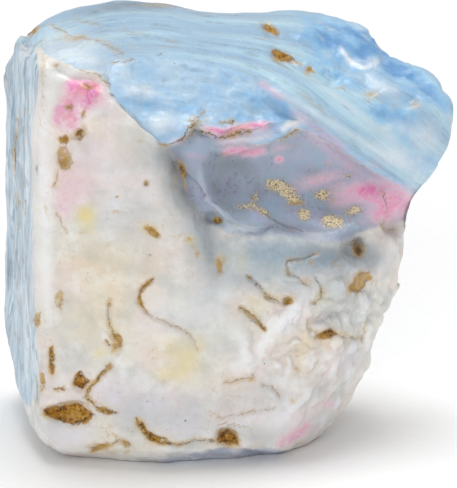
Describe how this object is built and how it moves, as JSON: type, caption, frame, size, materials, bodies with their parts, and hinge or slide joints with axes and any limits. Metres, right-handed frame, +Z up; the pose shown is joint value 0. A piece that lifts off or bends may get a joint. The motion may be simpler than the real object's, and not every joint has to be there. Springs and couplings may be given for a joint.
{
  "type": "rough blue opal",
  "caption": "Rough lump of blue opal with a flat cream front, a scooped-out hollow under a slanting blue top and one flat broken base to stand on.",
  "frame": {"origin": "middle of the outline box, on the plane of the flat base that the stone rests on", "axes": "+Z up, +X to the right along the wide side, seen from the cream front, +Y away from that front into the depth"},
  "size_m": [0.0566, 0.037, 0.0526],
  "materials": {
    "opal": "waxy, half-glossy broken opal, pale blue above and cream white in front, with pink and ochre stains"
  },
  "bodies": {
    "root": {"blue_opal": "opal"}
  },
  "joints": []
}
